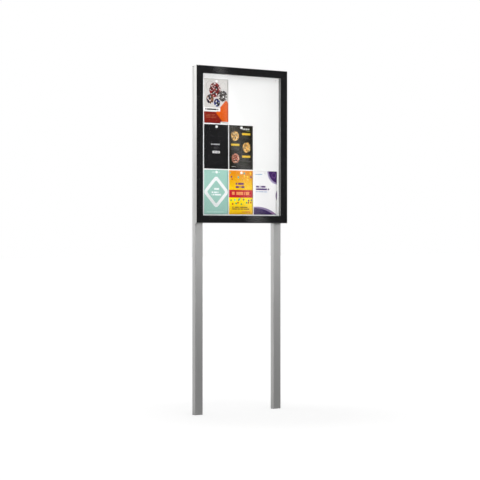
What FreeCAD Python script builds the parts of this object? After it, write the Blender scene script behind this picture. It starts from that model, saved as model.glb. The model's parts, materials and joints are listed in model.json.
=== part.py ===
import FreeCAD, Part
import math
import os

Vector = FreeCAD.Vector

# Sizes are in millimetres. X runs to the right, Y to the back, and Z up from the ground.

# Board, sized for whole sheets of paper in columns and rows
sheet_width = 210.0
sheet_height = 297.0
sheet_thickness = 0.3
sheet_columns = 3
sheet_rows = 3
sheet_column_gap = 7.0
sheet_row_gap = 7.0
sheet_shift = 4.4
opening_side_margin = 21.0
opening_low_margin = 8.0
opening_high_margin = 32.0
side_border = 57.0
end_border = 50.0
board_bottom = 1275.0

# Casing extrusion, mitred at its four corners
casing_wall = 1.8
casing_side_depth = 26.0
casing_edge_radius = 0.6
rear_inset = 18.0
cleat_leg = 45.0
cleat_thickness = 3.0
cleat_gap = 3.0
drain_slot_length = 24.0
drain_slot_width = 4.0
drain_slot_depth = 15.0
drain_slot_spacing = 250.0
drain_slot_count = 3

# Rear cover, on the front of the casing's rear flange
cover_thickness = 1.5
cover_overlap = 7.0

# Magnetic back panel and the folded brackets that carry it
panel_thickness = 1.0
panel_edge_gap = 0.7
bracket_height = 13.0
bracket_thickness = 1.5
bracket_length = 24.0
bracket_foot = 24.0
bracket_cover_gap = 2.0
panel_screw_side = 85.0
panel_screw_reach = 6.5
panel_screw_margin = 10.0
panel_screw_radius = 2.0
panel_screw_head_radius = 4.0
panel_screw_length = 8.0

# Liner round the display opening, and the seal on it
liner_depth = 11.7
liner_width = 17.0
liner_wall = 1.5
seal_thickness = 1.9
seal_width = 12.0
seal_margin = 3.0

# Door
glass_thickness = 4.0
glass_gap = 1.5
mask_thickness = 0.3
door_frame_depth = 8.0
door_frame_wall = 1.5
door_cleat_reach = 15.0
door_cleat_clearance = 0.1

# Hinge: a pin at the top and one at the bottom of the door's left side
pivot_radius = 2.5
pivot_clearance = 0.1
pivot_engagement = 18.0
swing_side_gap = 0.6
swing_rear_gap = 1.3
bush_wall = 1.5
bush_flange_radius = 5.5
bush_end = 0.5
hinge_block_wall = 1.5
hinge_block_margin = 7.0
hinge_block_height = 40.0
hinge_block_depth = 9.7
hinge_block_radius = 2.0
hinge_screw_radius = 2.0
hinge_screw_head_radius = 3.7
hinge_screw_spacing = 9.0
hinge_screw_end = 4.5
hinge_screw_bite = 4.0

# Locks in the casing's right side
lock_end_distance = 230.0
lock_body_radius = 6.0
lock_body_wall = 1.9
lock_flat_cut = 0.8
lock_head_overlap = 2.0
lock_head_height = 1.5
lock_nut_wall = 1.0
lock_nut_thickness = 3.0
plug_clearance = 0.1
plug_face_inset = 0.5
plug_face_thickness = 1.3
key_slot_length = 6.0
key_slot_width = 1.2
key_slot_depth = 4.0
plug_tail_side = 5.0
cam_gap = 0.5
cam_tip_gap = 0.35
cam_thickness = 2.5
cam_width = 8.0
cam_screw_gap = 1.2
cam_screw_radius = 1.5
cam_screw_head_radius = 3.5
cam_screw_head_height = 2.0
cam_screw_length = 9.0

# Catches on the door, which the cams hold
catch_thickness = 2.0
catch_lip_height = 7.0
catch_lip_gap = 1.2
catch_tail = 28.0
catch_screw_radius = 1.5
catch_screw_head_radius = 2.8
catch_screw_head_height = 1.6
catch_screw_spacing = 14.0
catch_screw_bite = 4.0

# Posts
post_width = 64.0
post_depth = 34.0
post_wall = 2.0
post_corner_radius = 3.0
post_side_inset = 23.0
post_below_board_top = 4.0
end_plug_flange = 2.0
end_plug_skirt = 14.0
end_plug_wall = 2.0
end_plug_clearance = 0.1

# Bolts that hold the casing on the posts
bolt_radius = 4.0
bolt_clearance = 0.5
bolt_head_radius = 7.0
bolt_head_height = 4.0
bolt_end_distance = 150.0
bolt_length = 20.0
washer_radius = 8.0
washer_thickness = 1.6
washer_cover_gap = 2.0
rivet_nut_radius = 5.5
rivet_nut_length = 16.0
rivet_nut_bulge = 1.2
rivet_nut_bulge_length = 4.0

# Rivets, flush at their tails
rivet_radius = 1.6
rivet_head_radius = 3.2
rivet_head_height = 0.9
cover_rivets_across = 2
cover_rivets_up = 3

# Small fasteners are many-sided, which keeps the model light
fastener_sides = 8

# Magnets that hold the sheets
magnet_radius = 8.8
magnet_height = 8.0
magnet_drop = 15.5
magnet_chamfer = 1.0
magnet_sides = 20

# Clearance of parts that move past each other
seat_gap = 0.3

# Depths are measured back from the board's front face
mask_rear = glass_thickness + mask_thickness
door_rear = mask_rear + door_frame_depth
door_middle = mask_rear + door_frame_depth / 2.0
seal_front = door_rear + seat_gap
liner_front = seal_front + seal_thickness
panel_front = liner_front + liner_depth
panel_rear = panel_front + panel_thickness
flange_front = panel_rear + bracket_height
casing_depth = flange_front + casing_wall
step_front = casing_side_depth - casing_wall
front_y = -(casing_depth + post_depth) / 2.0

# Distances in from the board's outer sides
rebate = rear_inset + casing_wall
post_middle = post_side_inset + post_width / 2.0
cover_edge = post_middle + washer_radius + washer_cover_gap
flange_edge = cover_edge + cover_overlap
bracket_web = cover_edge - bracket_cover_gap - bracket_thickness
panel_screw_end = bracket_web + panel_screw_reach

# The door's hinge axis, and its swing inside the casing's left side
pivot_depth = mask_rear + hinge_block_wall + pivot_radius
swing_radius = step_front - pivot_depth - swing_rear_gap
pivot_side = casing_wall + swing_side_gap + swing_radius
glass_side = pivot_side - math.sqrt(swing_radius ** 2 - pivot_depth ** 2)

# The locks' round parts, all sized from the body
plug_radius = lock_body_radius - lock_body_wall - plug_clearance
plug_face_radius = lock_body_radius - plug_face_inset
lock_head_radius = lock_body_radius + lock_head_overlap
lock_half_flats = lock_body_radius - lock_flat_cut
lock_nut_reach = 2.0 * (lock_body_radius + lock_nut_wall) / math.sqrt(3.0)

# The locks' axis, and what the cam and the catch leave for the door's frame
lock_depth = (mask_rear + step_front) / 2.0
cam_near = rebate + cam_gap
cam_far = cam_near + cam_thickness
cam_reach = lock_depth - mask_rear - cam_tip_gap
catch_side = cam_far + cam_screw_head_height + cam_screw_gap
stile_side = catch_side + catch_thickness
door_frame_width = side_border - stile_side

back = Vector(0, 1, 0)
front = Vector(0, -1, 0)
right_to_left = Vector(-1, 0, 0)
left_to_right = Vector(1, 0, 0)
up = Vector(0, 0, 1)
down = Vector(0, 0, -1)


def depth_y(depth):
    return front_y + depth


# A rectangle in the board's plane is left, right, low, high
def inset(rect, distance, end_distance=None):
    left, right, low, high = rect
    end = distance if end_distance is None else end_distance
    return (left + distance, right - distance, low + end, high - end)


grid_width = sheet_columns * (sheet_width + sheet_column_gap) - sheet_column_gap
grid_height = sheet_rows * (sheet_height + sheet_row_gap) - sheet_row_gap
opening_half = grid_width / 2.0 + opening_side_margin
opening_low = board_bottom + end_border
opening_high = opening_low + opening_low_margin + grid_height + opening_high_margin
opening = (-opening_half, opening_half, opening_low, opening_high)
board = inset(opening, -side_border, -end_border)
board_top = board[3]
door_frame = inset(opening, -door_frame_width)
glass_end = casing_wall + glass_gap
glass = (board[0] + glass_side, board[1] - glass_end, board[2] + glass_end, board[3] - glass_end)


# Corners are (u, v) or (u, v, radius), and place turns them into points of the model
def rounded_face(corners, place):
    points = [Vector(corner[0], corner[1], 0) for corner in corners]
    count = len(points)
    bends = []
    for index, point in enumerate(points):
        radius = corners[index][2] if len(corners[index]) > 2 else 0.0
        if radius == 0.0:
            bends.append((point, None, point))
            continue
        before = (points[index - 1] - point).normalize()
        after = (points[(index + 1) % count] - point).normalize()
        half = before.getAngle(after) / 2.0
        trim = radius / math.tan(half)
        centre = point + (before + after).normalize() * (radius / math.sin(half))
        middle = centre + (point - centre).normalize() * radius
        bends.append((point + before * trim, middle, point + after * trim))
    edges = []
    for index, (start, middle, finish) in enumerate(bends):
        previous = bends[index - 1][2]
        if previous.distanceToPoint(start) > 1e-6:
            edges.append(Part.LineSegment(place(previous), place(start)).toShape())
        if middle is not None:
            edges.append(Part.Arc(place(start), place(middle), place(finish)).toShape())
    return Part.Face(Part.Wire(edges))


def rectangle(u_low, u_high, v_low, v_high, radius=0.0):
    return [
        (u_low, v_low, radius),
        (u_high, v_low, radius),
        (u_high, v_high, radius),
        (u_low, v_high, radius),
    ]


# A flat piece in the board's plane between two depths
def plate(corners, near, far):
    face = rounded_face(corners, lambda p: Vector(p.x, depth_y(near), p.y))
    return face.extrude(back * (far - near))


# One side of a mitred frame, whose outline is (distance in from the rectangle's edge, depth)
def frame_member(side, outline, rect):
    left, right, low, high = rect
    width = max(corner[0] for corner in outline)
    near = min(corner[1] for corner in outline)
    far = max(corner[1] for corner in outline)
    if side in ("left", "right"):
        start, sign = (left, 1) if side == "left" else (right, -1)
        inner = start + sign * width
        bar = rounded_face(outline, lambda p: Vector(start + sign * p.x, depth_y(p.y), low))
        bar = bar.extrude(up * (high - low))
        mitre = [(start, low), (inner, low + width), (inner, high - width), (start, high)]
    else:
        start, sign = (low, 1) if side == "bottom" else (high, -1)
        inner = start + sign * width
        bar = rounded_face(outline, lambda p: Vector(left, depth_y(p.y), start + sign * p.x))
        bar = bar.extrude(left_to_right * (right - left))
        mitre = [(left, start), (left + width, inner), (right - width, inner), (right, start)]
    return bar.common(plate(mitre, near, far))


# A turned piece, whose outline is (radius, distance along the axis from the base)
def turned(outline, base, axis):
    face = rounded_face(outline, lambda p: Vector(p.x, 0, p.y))
    solid = face.revolve(Vector(0, 0, 0), up, 360)
    solid.Placement = FreeCAD.Placement(base, FreeCAD.Rotation(up, axis))
    return solid


# The same as a turned piece, but many-sided
def faceted(outline, base, axis, sides=fastener_sides):
    turn = FreeCAD.Rotation(up, axis)
    rings = []
    for radius, height in outline:
        angles = [2.0 * math.pi * (index + 0.5) / sides for index in range(sides)]
        ring = [Vector(radius * math.cos(angle), radius * math.sin(angle), height) for angle in angles]
        rings.append([base + turn.multVec(point) for point in ring] if radius else None)
    faces = []
    for index, ring in enumerate(rings):
        last = rings[index - 1]
        if ring is None or last is None:
            if ring or last:
                flat = ring or last
                faces.append(Part.Face(Part.makePolygon(flat + flat[:1])))
            continue
        for side in range(sides):
            corners = [last[side - 1], last[side], ring[side], ring[side - 1]]
            faces.append(Part.Face(Part.makePolygon(corners + corners[:1])))
    return Part.Solid(Part.Shell(faces)).removeSplitter()


def faceted_rod(radius, length, base, axis):
    return faceted([(0, 0), (radius, 0), (radius, length), (0, length)], base, axis)


def rod(radius, length, base, axis):
    return Part.makeCylinder(radius, length, base, axis)


# A screw or rivet on its seat, with its head on the side that the axis comes from
def fastener(head_radius, head_height, radius, length, base, axis):
    outline = [
        (0, -head_height),
        (head_radius * 0.7, -head_height),
        (head_radius, 0),
        (radius, 0),
        (radius, length),
        (0, length),
    ]
    return faceted(outline, base, axis)


def countersunk_screw(radius, head_radius, length, base, axis):
    outline = [(0, 0), (head_radius, 0), (radius, head_radius - radius), (radius, length), (0, length)]
    return faceted(outline, base, axis)


def spread(low, high, count):
    pitch = (high - low) / count
    return [low + pitch * (index + 0.5) for index in range(count)]


def places_round(rect, across, upward):
    left, right, low, high = rect
    places = [(x, z) for z in (low, high) for x in spread(left, right, across)]
    return places + [(x, z) for x in (left, right) for z in spread(low, high, upward)]


# The four corners of a rectangle, each with the signs that point towards its middle
def corners_of(rect):
    left, right, low, high = rect
    return [(left, low, 1, 1), (right, low, -1, 1), (left, high, 1, -1), (right, high, -1, -1)]


def save(name, *solids):
    shape = solids[0] if len(solids) == 1 else Part.makeCompound(list(solids))
    shape.exportStep("parts/" + name + ".step")


os.makedirs("parts", exist_ok=True)


# Posts: tubes, each with a cap on top and a plug in its foot
post_front = depth_y(casing_depth)
post_top = board_top - post_below_board_top
post_places = {"left": board[0] + post_middle, "right": board[1] - post_middle}
bolt_heights = (board_bottom + bolt_end_distance, board_top - bolt_end_distance)


def post_section(x, z, shrink, radius=0.0):
    corners = rectangle(
        x - post_width / 2.0 + shrink,
        x + post_width / 2.0 - shrink,
        post_front + shrink,
        post_front + post_depth - shrink,
        radius,
    )
    return rounded_face(corners, lambda p: Vector(p.x, p.y, z))


def post(x):
    run = up * (post_top - 2.0 * end_plug_flange)
    tube = post_section(x, end_plug_flange, 0.0, post_corner_radius).extrude(run)
    holes = [post_section(x, end_plug_flange, post_wall).extrude(run)]
    for z in bolt_heights:
        holes.append(faceted_rod(rivet_nut_radius, post_wall, Vector(x, post_front, z), back))
    return tube.cut(holes)


def end_plug(x, z, inside):
    skirt_base = z + inside.z * end_plug_flange
    shrink = post_wall + end_plug_clearance
    flange = post_section(x, z, 0.0, post_corner_radius).extrude(inside * end_plug_flange)
    skirt = post_section(x, skirt_base, shrink).extrude(inside * end_plug_skirt)
    hollow = post_section(x, skirt_base, shrink + end_plug_wall).extrude(inside * end_plug_skirt)
    return flange.fuse(skirt.cut(hollow)).removeSplitter()


for side, x in post_places.items():
    save("post_" + side, post(x))
    save("post_cap_" + side, end_plug(x, post_top, down))
    save("post_foot_" + side, end_plug(x, 0.0, up))


# Bolts through the casing's rear flange into rivet nuts in the posts
bolt_places = [(x, z) for x in post_places.values() for z in bolt_heights]
bolt_seat = flange_front - washer_thickness


def bolt(x, z):
    base = Vector(x, depth_y(bolt_seat), z)
    return fastener(bolt_head_radius, bolt_head_height, bolt_radius, bolt_length, base, back)


def washer(x, z):
    outline = rectangle(bolt_radius + bolt_clearance, washer_radius, 0, washer_thickness)
    return faceted([corner[:2] for corner in outline], Vector(x, depth_y(bolt_seat), z), back)


def rivet_nut(x, z):
    bulge_end = post_wall + rivet_nut_bulge_length
    outline = [
        (bolt_radius, 0),
        (rivet_nut_radius, 0),
        (rivet_nut_radius, post_wall),
        (rivet_nut_radius + rivet_nut_bulge, post_wall),
        (rivet_nut_radius + rivet_nut_bulge, bulge_end),
        (rivet_nut_radius, bulge_end),
        (rivet_nut_radius, rivet_nut_length),
        (bolt_radius, rivet_nut_length),
    ]
    return faceted(outline, Vector(x, post_front, z), back)


save("post_bolts", *[bolt(x, z) for x, z in bolt_places])
save("post_washers", *[washer(x, z) for x, z in bolt_places])
save("post_rivet_nuts", *[rivet_nut(x, z) for x, z in bolt_places])


# Rivets of the rear cover, and of the brackets behind the panel
cover_rivet_rect = inset(board, cover_edge + cover_overlap / 2.0)
cover_rivet_places = places_round(cover_rivet_rect, cover_rivets_across, cover_rivets_up)
foot_middle = bracket_web + bracket_thickness - bracket_foot / 2.0
bracket_rivet_places = [(x, z) for x, z, _, _ in corners_of(inset(board, panel_screw_side, foot_middle))]


def rivet(x, z, grip):
    base = Vector(x, depth_y(flange_front - grip), z)
    return fastener(rivet_head_radius, rivet_head_height, rivet_radius, grip + casing_wall, base, back)


def rivet_holes(places, near, far):
    return [faceted_rod(rivet_radius, far - near, Vector(x, depth_y(near), z), back) for x, z in places]


# Casing
lock_heights = {"upper": board_top - lock_end_distance, "lower": board_bottom + lock_end_distance}
bush_radius = pivot_radius + pivot_clearance + bush_wall


def casing_outline():
    edge = casing_edge_radius
    return [
        (0, 0, edge),
        (0, casing_side_depth, edge),
        (rear_inset, casing_side_depth),
        (rear_inset, casing_depth),
        (flange_edge, casing_depth),
        (flange_edge, flange_front),
        (rebate, flange_front),
        (rebate, step_front),
        (casing_wall, step_front),
        (casing_wall, 0),
    ]


def drain_slot(x):
    corners = rectangle(
        x - drain_slot_length / 2.0,
        x + drain_slot_length / 2.0,
        depth_y(drain_slot_depth - drain_slot_width / 2.0),
        depth_y(drain_slot_depth + drain_slot_width / 2.0),
    )
    return rounded_face(corners, lambda p: Vector(p.x, p.y, board_bottom)).extrude(up * casing_wall)


# The lock's body is round with two flats, and so is its hole
def lock_section(z, start, length):
    body = rod(lock_body_radius, length, Vector(board[1] - start, depth_y(lock_depth), z), right_to_left)
    low = depth_y(lock_depth) - lock_half_flats
    corner = Vector(board[1] - start - length, low, z - lock_body_radius)
    return body.common(Part.makeBox(length, 2.0 * lock_half_flats, 2.0 * lock_body_radius, corner))


def casing_member(side):
    flange_holes = rivet_holes(cover_rivet_places + bracket_rivet_places, flange_front, casing_depth)
    for x, z in bolt_places:
        base = Vector(x, depth_y(flange_front), z)
        flange_holes.append(faceted_rod(bolt_radius + bolt_clearance, casing_wall, base, back))
    pivot = Vector(board[0] + pivot_side, depth_y(pivot_depth), 0)
    wall_holes = []
    if side == "right":
        wall_holes = [lock_section(z, 0.0, casing_wall) for z in lock_heights.values()]
    elif side == "top":
        wall_holes = [faceted_rod(bush_radius, casing_wall, pivot + up * board_top, down)]
    elif side == "bottom":
        drain_middle = drain_slot_spacing * (drain_slot_count - 1) / 2.0
        for index in range(drain_slot_count):
            wall_holes.append(drain_slot(index * drain_slot_spacing - drain_middle))
        wall_holes.append(faceted_rod(bush_radius, casing_wall, pivot + up * board_bottom, up))
    return frame_member(side, casing_outline(), board).cut(flange_holes + wall_holes)


def casing_cleat(x, z, x_sign, z_sign):
    corners = [
        (0, 0),
        (cleat_leg, 0),
        (cleat_leg, cleat_thickness),
        (cleat_thickness, cleat_thickness),
        (cleat_thickness, cleat_leg),
        (0, cleat_leg),
    ]
    near = panel_rear + cleat_gap
    face = rounded_face(corners, lambda p: Vector(x + x_sign * p.x, depth_y(near), z + z_sign * p.y))
    return face.extrude(back * (flange_front - near))


for side in ("left", "right", "top", "bottom"):
    save("casing_" + side, casing_member(side))
save("casing_corner_cleats", *[casing_cleat(*corner) for corner in corners_of(inset(board, rebate))])


def rear_cover():
    near = flange_front - cover_thickness
    cover = plate(rectangle(*inset(board, cover_edge)), near, flange_front)
    return cover.cut(rivet_holes(cover_rivet_places, near, flange_front))


save("rear_cover", rear_cover())
cover_rivets = [rivet(x, z, cover_thickness) for x, z in cover_rivet_places]
bracket_rivets = [rivet(x, z, bracket_thickness) for x, z in bracket_rivet_places]
save("casing_rivets", *cover_rivets, *bracket_rivets)


# Back panel on its four brackets, with a countersunk screw through each
panel_screw_places = corners_of(inset(board, panel_screw_side, panel_screw_end))


def panel_screw(x, z):
    base = Vector(x, depth_y(panel_front), z)
    return countersunk_screw(panel_screw_radius, panel_screw_head_radius, panel_screw_length, base, back)


panel_screws = [panel_screw(x, z) for x, z, _, _ in panel_screw_places]


def panel_bracket(x, z, z_sign):
    shelf_end = panel_screw_end + panel_screw_margin
    web_far = bracket_web + bracket_thickness
    foot_end = web_far - bracket_foot
    shelf_rear = panel_rear + bracket_thickness
    foot_front = flange_front - bracket_thickness
    outline = [
        (bracket_web, panel_rear),
        (shelf_end, panel_rear),
        (shelf_end, shelf_rear),
        (web_far, shelf_rear),
        (web_far, flange_front),
        (foot_end, flange_front),
        (foot_end, foot_front),
        (bracket_web, foot_front),
    ]
    edge = z - z_sign * panel_screw_end
    start = x - bracket_length / 2.0
    face = rounded_face(outline, lambda p: Vector(start, depth_y(p.y), edge + z_sign * p.x))
    return face.extrude(left_to_right * bracket_length)


def back_panel():
    panel = plate(rectangle(*inset(board, rebate + panel_edge_gap)), panel_front, panel_rear)
    return panel.cut(panel_screws)


bracket_holes = rivet_holes(bracket_rivet_places, flange_front - bracket_thickness, flange_front)
panel_brackets = [panel_bracket(x, z, z_sign) for x, z, _, z_sign in panel_screw_places]
save("back_panel", back_panel())
save("panel_brackets", *[bracket.cut(bracket_holes + panel_screws) for bracket in panel_brackets])
save("panel_screws", *panel_screws)


# Liner: channels bonded to the panel, which frame the display opening and carry the seal
def liner_member(side):
    inner = liner_width - liner_wall
    outline = [
        (0, liner_front),
        (liner_width, liner_front),
        (liner_width, panel_front),
        (0, panel_front),
        (0, panel_front - liner_wall),
        (inner, panel_front - liner_wall),
        (inner, liner_front + liner_wall),
        (0, liner_front + liner_wall),
    ]
    return frame_member(side, outline, inset(opening, -liner_width))


def door_seal():
    outside = plate(rectangle(*inset(opening, -seal_margin - seal_width)), seal_front, liner_front)
    return outside.cut(plate(rectangle(*inset(opening, -seal_margin)), seal_front, liner_front))


for side in ("left", "right", "top", "bottom"):
    save("liner_" + side, liner_member(side))
save("door_seal", door_seal())


# Hinge: closed bushes in the casing, and pins in blocks that are screwed to the door's left stile
pivot_x = board[0] + pivot_side
pivot_y = depth_y(pivot_depth)
hinge_ends = {"top": (board_top, down), "bottom": (board_bottom, up)}


def hinge_point(end, distance):
    height, inside = hinge_ends[end]
    return Vector(pivot_x, pivot_y, height) + inside * distance


def hinge_bush(end):
    flange_end = glass_end - seat_gap
    inside = hinge_ends[end][1]
    outline = [
        (0, 0),
        (bush_radius, 0),
        (bush_radius, casing_wall),
        (bush_flange_radius, casing_wall),
        (bush_flange_radius, flange_end),
        (0, flange_end),
    ]
    bore = rod(pivot_radius + pivot_clearance, flange_end - bush_end, hinge_point(end, bush_end), inside)
    return faceted(outline, hinge_point(end, 0.0), inside).cut(bore)


def hinge_pin(end):
    start = bush_end + seat_gap
    length = glass_end + pivot_engagement - start
    return rod(pivot_radius, length, hinge_point(end, start), hinge_ends[end][1])


def hinge_screws(end):
    height, inside = hinge_ends[end]
    last = glass_end + hinge_block_height - hinge_screw_end
    x = pivot_x - hinge_block_margin
    length = board[0] + stile_side + hinge_screw_bite - x
    screws = []
    for distance in (last - hinge_screw_spacing, last):
        base = Vector(x, depth_y(door_middle), height) + inside * distance
        screw = countersunk_screw(hinge_screw_radius, hinge_screw_head_radius, length, base, left_to_right)
        screws.append(screw)
    return screws


def hinge_block(end):
    height, inside = hinge_ends[end]
    corners = [
        (pivot_x - hinge_block_margin, depth_y(mask_rear)),
        (board[0] + stile_side, depth_y(mask_rear)),
        (board[0] + stile_side, depth_y(mask_rear + hinge_block_depth)),
        (pivot_x - hinge_block_margin, depth_y(mask_rear + hinge_block_depth), hinge_block_radius),
    ]
    start = height + inside.z * glass_end
    block = rounded_face(corners, lambda p: Vector(p.x, p.y, start)).extrude(inside * hinge_block_height)
    return block.cut([hinge_pin(end)] + hinge_screws(end))


all_hinge_screws = hinge_screws("top") + hinge_screws("bottom")
for end in hinge_ends:
    save("hinge_bush_" + end, hinge_bush(end))
    save("hinge_pin_" + end, hinge_pin(end))
    save("hinge_block_" + end, hinge_block(end))
save("hinge_screws", *all_hinge_screws)


# Catches for the two cams, screwed to the outside of the door's right stile
lip_front = lock_depth + cam_width / 2.0 + seat_gap
lip_rear = lip_front + catch_thickness


def catch_top(name):
    return lock_heights[name] - cam_width / 2.0 - catch_lip_gap


def lock_catch(name):
    high = catch_top(name)
    lip_low = high - catch_lip_height
    x = board[1] - stile_side
    near = mask_rear + seat_gap
    corners = [
        (near, lip_low - catch_tail),
        (door_rear, lip_low - catch_tail),
        (door_rear, lip_low - lip_rear + door_rear),
        (lip_rear, lip_low),
        (lip_rear, high),
        (near, high),
    ]
    leg = rounded_face(corners, lambda p: Vector(x, depth_y(p.x), p.y))
    leg = leg.extrude(left_to_right * catch_thickness)
    lip_length = stile_side - cam_near
    lip = Part.makeBox(lip_length, catch_thickness, catch_lip_height, Vector(x, depth_y(lip_front), lip_low))
    return leg.fuse(lip).removeSplitter().cut(catch_screws(name))


def catch_screws(name):
    middle = catch_top(name) - catch_lip_height - catch_tail / 2.0
    length = catch_thickness + catch_screw_bite
    screws = []
    for shift in (-catch_screw_spacing / 2.0, catch_screw_spacing / 2.0):
        base = Vector(board[1] - catch_side, depth_y(door_middle), middle + shift)
        size = (catch_screw_head_radius, catch_screw_head_height, catch_screw_radius, length)
        screws.append(fastener(*size, base, right_to_left))
    return screws


all_catch_screws = catch_screws("upper") + catch_screws("lower")
for name in lock_heights:
    save("lock_catch_" + name, lock_catch(name))
save("catch_screws", *all_catch_screws)


# Door: glass with a dark border behind its edge, bonded to a hollow mitred frame
def door_glass():
    return plate(rectangle(*glass), 0.0, glass_thickness)


def border_mask():
    whole = plate(rectangle(*glass), glass_thickness, mask_rear)
    return whole.cut(plate(rectangle(*opening), glass_thickness, mask_rear))


def door_member(side):
    wall = door_frame_wall
    outside = rectangle(0, door_frame_width, mask_rear, door_rear)
    inside = rectangle(wall, door_frame_width - wall, mask_rear + wall, door_rear - wall)
    member = frame_member(side, outside, door_frame).cut(frame_member(side, inside, door_frame))
    return member.cut(all_hinge_screws + all_catch_screws)


def door_cleat(x, z, x_sign, z_sign):
    near_edge = door_frame_wall + door_cleat_clearance
    far_edge = door_frame_width - near_edge
    leg = door_frame_width + door_cleat_reach
    corners = [
        (near_edge, near_edge),
        (leg, near_edge),
        (leg, far_edge),
        (far_edge, far_edge),
        (far_edge, leg),
        (near_edge, leg),
    ]
    near = mask_rear + near_edge
    face = rounded_face(corners, lambda p: Vector(x + x_sign * p.x, depth_y(near), z + z_sign * p.y))
    return face.extrude(back * (door_rear - near_edge - near)).cut(all_hinge_screws)


save("door_glass", door_glass())
save("border_mask", border_mask())
save("door_stile_left", door_member("left"))
save("door_stile_right", door_member("right"))
save("door_rail_top", door_member("top"))
save("door_rail_bottom", door_member("bottom"))
save("door_corner_cleats", *[door_cleat(*corner) for corner in corners_of(door_frame)])


# Cam locks, in a frame of their own: distance in from the casing's right side
def lock_point(name, distance):
    return Vector(board[1] - distance, depth_y(lock_depth), lock_heights[name])


def lock_barrel(name):
    face_radius = plug_face_radius + plug_clearance
    head = turned(
        [
            (face_radius, -lock_head_height),
            (lock_head_radius, -lock_head_height),
            (lock_head_radius, 0),
            (face_radius, 0),
        ],
        lock_point(name, 0.0),
        right_to_left,
    )
    length = cam_near - seat_gap
    body = lock_section(lock_heights[name], 0.0, length)
    bore = rod(plug_radius + plug_clearance, length, lock_point(name, 0.0), right_to_left)
    return head.fuse(body.cut(bore)).removeSplitter()


def lock_nut(name):
    angles = [math.pi / 3.0 * index for index in range(6)]
    corners = [(lock_nut_reach * math.sin(angle), lock_nut_reach * math.cos(angle)) for angle in angles]
    centre = lock_point(name, casing_wall)
    face = rounded_face(corners, lambda p: centre + Vector(0, p.x, p.y))
    bore = rod(lock_body_radius, lock_nut_thickness, centre, right_to_left)
    return face.extrude(right_to_left * lock_nut_thickness).cut(bore)


def cam_screw(name):
    size = (cam_screw_head_radius, cam_screw_head_height, cam_screw_radius, cam_screw_length)
    return fastener(*size, lock_point(name, cam_far), left_to_right)


def plug_tail(name):
    half = plug_tail_side / 2.0
    start = cam_near - seat_gap
    corner = lock_point(name, cam_far) - Vector(0, half, half)
    return Part.makeBox(cam_far - start, plug_tail_side, plug_tail_side, corner)


def lock_plug(name):
    face_end = plug_face_thickness - lock_head_height
    outline = [
        (0, -lock_head_height),
        (plug_face_radius, -lock_head_height),
        (plug_face_radius, face_end),
        (plug_radius, face_end),
        (plug_radius, cam_near - seat_gap),
        (0, cam_near - seat_gap),
    ]
    body = turned(outline, lock_point(name, 0.0), right_to_left)
    slot_corner = lock_point(name, key_slot_depth - lock_head_height)
    slot_corner -= Vector(0, key_slot_width / 2.0, key_slot_length / 2.0)
    slot = Part.makeBox(key_slot_depth, key_slot_width, key_slot_length, slot_corner)
    return body.fuse(plug_tail(name)).removeSplitter().cut([slot, cam_screw(name)])


# The cam points to the glass while the lock is open, and turns down in front of the catch's lip
def lock_cam(name):
    half = cam_width / 2.0
    corners = [
        (half, -half, half * 0.98),
        (-cam_reach, -half, half * 0.98),
        (-cam_reach, half, half * 0.98),
        (half, half, half * 0.98),
    ]
    centre = lock_point(name, cam_near)
    face = rounded_face(corners, lambda p: centre + Vector(0, p.x, p.y))
    return face.extrude(right_to_left * cam_thickness).cut(plug_tail(name))


for name in lock_heights:
    save("lock_" + name + "_barrel", lock_barrel(name))
    save("lock_" + name + "_nut", lock_nut(name))
    save("lock_" + name + "_plug", lock_plug(name))
    save("lock_" + name + "_cam", lock_cam(name))
    save("lock_" + name + "_screw", cam_screw(name))


# Sheets hang on the panel, each under one magnet; a place is (column, row), both from 0
sheet_places = [(0, 2), (0, 1), (1, 1), (0, 0), (1, 0), (2, 0)]
sheets_left = sheet_shift - grid_width / 2.0
sheets_low = opening_low + opening_low_margin
sheet_front = panel_front - sheet_thickness


def sheet(column, row):
    left = sheets_left + column * (sheet_width + sheet_column_gap)
    low = sheets_low + row * (sheet_height + sheet_row_gap)
    return plate(rectangle(left, left + sheet_width, low, low + sheet_height), sheet_front, panel_front)


def magnet(column, row):
    x = sheets_left + column * (sheet_width + sheet_column_gap) + sheet_width / 2.0
    z = sheets_low + row * (sheet_height + sheet_row_gap) + sheet_height - magnet_drop
    outline = [
        (0, 0),
        (magnet_radius, 0),
        (magnet_radius, magnet_height - magnet_chamfer),
        (magnet_radius - magnet_chamfer, magnet_height),
        (0, magnet_height),
    ]
    return faceted(outline, Vector(x, depth_y(sheet_front), z), front, magnet_sides)


for number, place in enumerate(sheet_places, 1):
    save("sheet_" + str(number), sheet(*place))
save("magnets", *[magnet(*place) for place in sheet_places])
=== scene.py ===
import json
import math

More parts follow.
